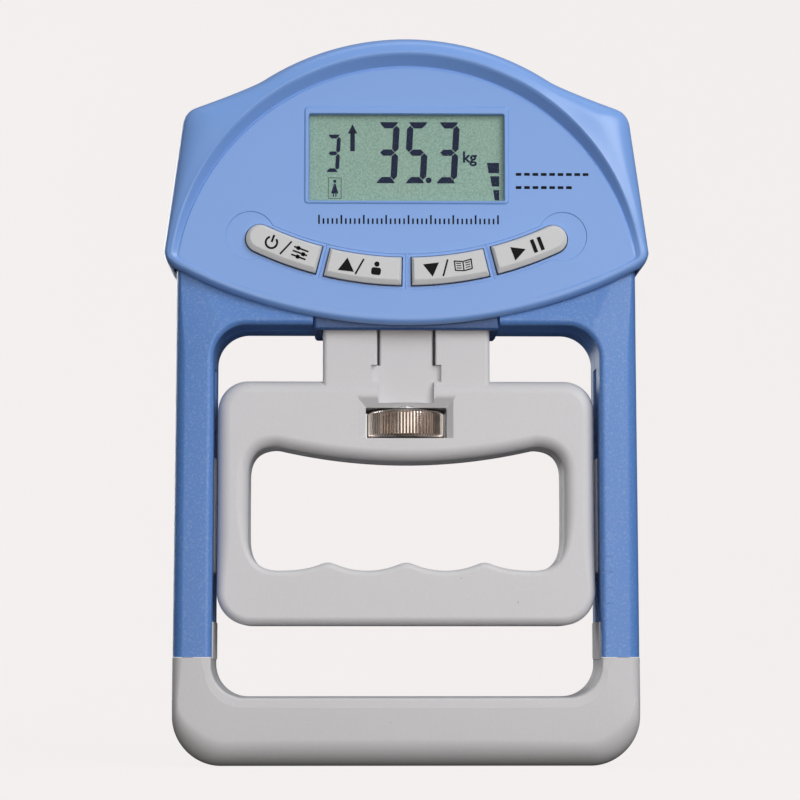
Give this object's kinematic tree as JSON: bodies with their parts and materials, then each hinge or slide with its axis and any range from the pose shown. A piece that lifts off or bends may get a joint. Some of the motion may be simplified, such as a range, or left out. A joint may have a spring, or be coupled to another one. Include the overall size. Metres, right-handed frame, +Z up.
{
  "type": "hand dynamometer",
  "caption": "Electronic hand grip dynamometer: display head with push buttons, two-arm frame with a bottom grip, and an inner handle whose span is set by a knurled knob.",
  "frame": {"origin": "centre of the bounding box's base, on the surface that the bottom grip stands on", "axes": "+Z up along the arms, -Y out of the display's face, +X to the right as seen from the front"},
  "size_m": [0.1272, 0.032, 0.1905],
  "materials": {
    "gloss_blue": "gloss",
    "satin_blue": "fine spark-eroded texture",
    "grey_plastic": "fine spark-eroded texture",
    "button_grey": "satin",
    "clear_window": "polished",
    "display": "liquid crystal display",
    "black_plastic": "matte",
    "circuit_board": "solder mask",
    "steel": "zinc plated",
    "nickel": "nickel plated",
    "aluminium": "milled",
    "battery_skin": "printed film",
    "red_insulation": "soft",
    "black_insulation": "soft"
  },
  "bodies": {
    "frame": {"head_cover_front": "gloss_blue", "head_cover_back": "satin_blue", "frame_front_shell": "satin_blue", "frame_back_shell": "satin_blue", "neck_collar": "satin_blue", "bottom_grip_front": "grey_plastic", "bottom_grip_back": "grey_plastic", "display_window": "clear_window", "lcd_cell": "display", "zebra_strip": "black_plastic", "circuit_board": "circuit_board", "controller_chip": "black_plastic", "switch_power": "black_plastic", "switch_up": "black_plastic", "switch_down": "black_plastic", "switch_start": "black_plastic", "battery_tray": "black_plastic", "battery_1": "battery_skin", "battery_2": "battery_skin", "contact_link": "nickel", "contact_positive": "nickel", "contact_negative": "nickel", "battery_lead_red": "red_insulation", "battery_lead_black": "black_insulation", "load_cell_cable": "black_insulation", "load_cell": "aluminium", "load_cell_screw_1": "steel", "load_cell_screw_2": "steel", "tension_strip": "steel", "crosshead": "steel", "crosshead_screw_left": "steel", "crosshead_screw_right": "steel", "head_screw_1": "steel", "head_screw_2": "steel", "head_screw_3": "steel", "head_screw_4": "steel", "arm_screw_1": "steel", "arm_screw_2": "steel", "grip_screw_1": "steel", "grip_screw_2": "steel"},
    "pull_rod": {"pull_tube": "steel", "load_bolt": "steel"},
    "handle": {"handle_front": "grey_plastic", "handle_back": "grey_plastic", "thrust_washer": "steel", "guide_shoe_left": "grey_plastic", "guide_shoe_right": "grey_plastic", "handle_screw_1": "steel", "handle_screw_2": "steel", "handle_screw_3": "steel", "handle_screw_4": "steel"},
    "knob": {"adjust_knob": "nickel", "adjust_screw": "steel"},
    "button_power": {"button_power": "button_grey"},
    "button_up": {"button_up": "button_grey"},
    "button_down": {"button_down": "button_grey"},
    "button_start": {"button_start": "button_grey"},
    "battery_door": {"battery_door": "satin_blue"}
  },
  "joints": [
    {"name": "grip_pull", "type": "slide", "parent": "frame", "child": "pull_rod", "axis": [0, 0, -1], "range_m": [0, 0.0005], "stiffness_N_per_m": 20000},
    {"name": "span_slide", "type": "slide", "parent": "pull_rod", "child": "handle", "axis": [0, 0, 1], "range_m": [-0.012, 0.004]},
    {"name": "knob_spin", "type": "hinge", "parent": "handle", "child": "knob", "pos_m": [0, 0, 0.089], "axis": [0, 0, 1], "range_deg": [-2160, 720]},
    {"name": "press_power", "type": "slide", "parent": "frame", "child": "button_power", "axis": [0, 1, 0], "range_m": [0, 0.0005], "stiffness_N_per_m": 300},
    {"name": "press_up", "type": "slide", "parent": "frame", "child": "button_up", "axis": [0, 1, 0], "range_m": [0, 0.0005], "stiffness_N_per_m": 300},
    {"name": "press_down", "type": "slide", "parent": "frame", "child": "button_down", "axis": [0, 1, 0], "range_m": [0, 0.0005], "stiffness_N_per_m": 300},
    {"name": "press_start", "type": "slide", "parent": "frame", "child": "button_start", "axis": [0, 1, 0], "range_m": [0, 0.0005], "stiffness_N_per_m": 300},
    {"name": "door_hinge", "type": "hinge", "parent": "frame", "child": "battery_door", "pos_m": [0, 0.0158, 0.1494], "axis": [-1, 0, 0], "range_deg": [0, 75]}
  ],
  "couplings": [
    {"joint": "knob_spin", "follows": "span_slide", "rad_per_m": 3141.5}
  ]
}
